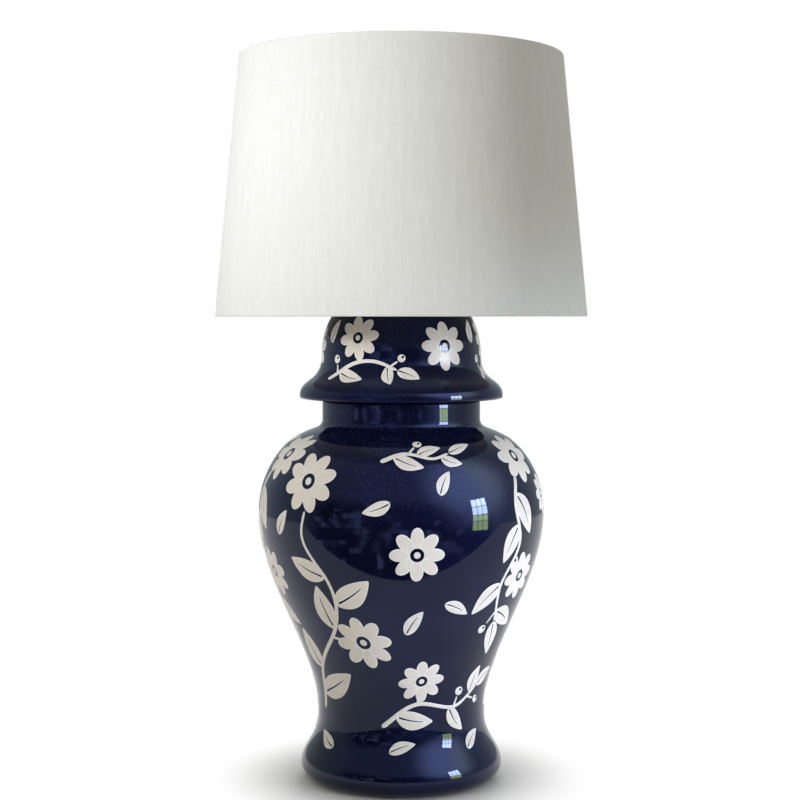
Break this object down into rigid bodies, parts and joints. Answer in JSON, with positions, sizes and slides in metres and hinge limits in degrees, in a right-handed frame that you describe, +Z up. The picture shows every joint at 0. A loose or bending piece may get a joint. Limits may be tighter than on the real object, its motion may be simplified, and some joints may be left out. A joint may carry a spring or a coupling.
{
  "type": "table lamp",
  "caption": "Ginger jar table lamp: glazed jar with a domed lid, and a linen empire shade on a harp over a turn-switch socket.",
  "frame": {"origin": "middle of the foot, on the table that the lamp stands on", "axes": "+Z up along the lamp pipe, -Y the front with the switch knob, +Y the back with the cord outlet"},
  "size_m": [0.381, 0.3808, 0.7554],
  "materials": {
    "glazed_body": "deep blue gloss glaze with satin white figures",
    "glazed_lid": "deep blue gloss glaze with satin white figures",
    "felt": "self-adhesive felt",
    "black_rubber": "matt",
    "zinc_steel": "zinc plated",
    "satin_brass": "satin",
    "socket_brass": "bright dipped",
    "fibre": "insulating fibre sleeve",
    "phenolic": "moulded, semi-matt",
    "bare_aluminium": "rolled sheet",
    "black_glass": "vitrite insulator",
    "frosted_glass": "inside frosted",
    "linen": "off-white slub linen",
    "styrene": "satin white",
    "ring_wire": "white"
  },
  "bodies": {
    "base": {"jar_body": "glazed_body", "jar_lid": "glazed_lid", "foot_felt": "felt", "cord_bushing": "black_rubber", "lamp_pipe": "zinc_steel", "bottom_rubber_washer": "black_rubber", "bottom_washer": "zinc_steel", "bottom_lock_washer": "zinc_steel", "bottom_nut": "zinc_steel", "lid_rubber_washer": "black_rubber", "vase_cap": "satin_brass", "neck_spacer": "satin_brass", "harp_saddle": "satin_brass", "saddle_nut": "zinc_steel", "socket_cap": "socket_brass", "socket_set_screw": "zinc_steel", "socket_shell": "socket_brass", "socket_liner": "fibre", "socket_interior": "phenolic", "terminal_screw_hot": "satin_brass", "terminal_screw_neutral": "zinc_steel", "screw_shell": "bare_aluminium", "center_contact": "satin_brass"},
    "switch": {"switch_rotor": "phenolic", "switch_shaft": "zinc_steel", "switch_knob": "phenolic"},
    "bulb": {"bulb_contact": "zinc_steel", "bulb_insulator": "black_glass", "bulb_cap": "bare_aluminium", "bulb_glass": "frosted_glass"},
    "harp": {"harp_wire": "satin_brass", "harp_top": "satin_brass"},
    "left_ferrule": {"ferrule_left": "satin_brass"},
    "right_ferrule": {"ferrule_right": "satin_brass"},
    "shade": {"shade_fabric": "linen", "shade_liner": "styrene", "shade_top_ring": "ring_wire", "shade_bottom_ring": "ring_wire", "spider_arms": "satin_brass", "spider_hub": "satin_brass"},
    "finial": {"finial_base": "satin_brass", "finial_ball": "satin_brass"}
  },
  "joints": [
    {"name": "switch_turn", "type": "hinge", "parent": "base", "child": "switch", "pos_m": [0, -0.01775, 0.5565], "axis": [0, -1, 0], "continuous": true},
    {"name": "bulb_turn", "type": "hinge", "parent": "base", "child": "bulb", "pos_m": [0, 0, 0.56855], "axis": [0, 0, 1], "continuous": true},
    {"name": "harp_lift", "type": "slide", "parent": "base", "child": "harp", "axis": [0, 0, 1], "range_m": [0, 0.03]},
    {"name": "left_ferrule_slide", "type": "slide", "parent": "harp", "child": "left_ferrule", "axis": [0, 0, 1], "range_m": [0, 0.02]},
    {"name": "right_ferrule_slide", "type": "slide", "parent": "harp", "child": "right_ferrule", "axis": [0, 0, 1], "range_m": [0, 0.02]},
    {"name": "shade_turn", "type": "hinge", "parent": "harp", "child": "shade", "pos_m": [0, 0, 0.7282], "axis": [0, 0, 1], "continuous": true},
    {"name": "finial_turn", "type": "hinge", "parent": "harp", "child": "finial", "pos_m": [0, 0, 0.7297], "axis": [0, 0, 1], "continuous": true}
  ]
}
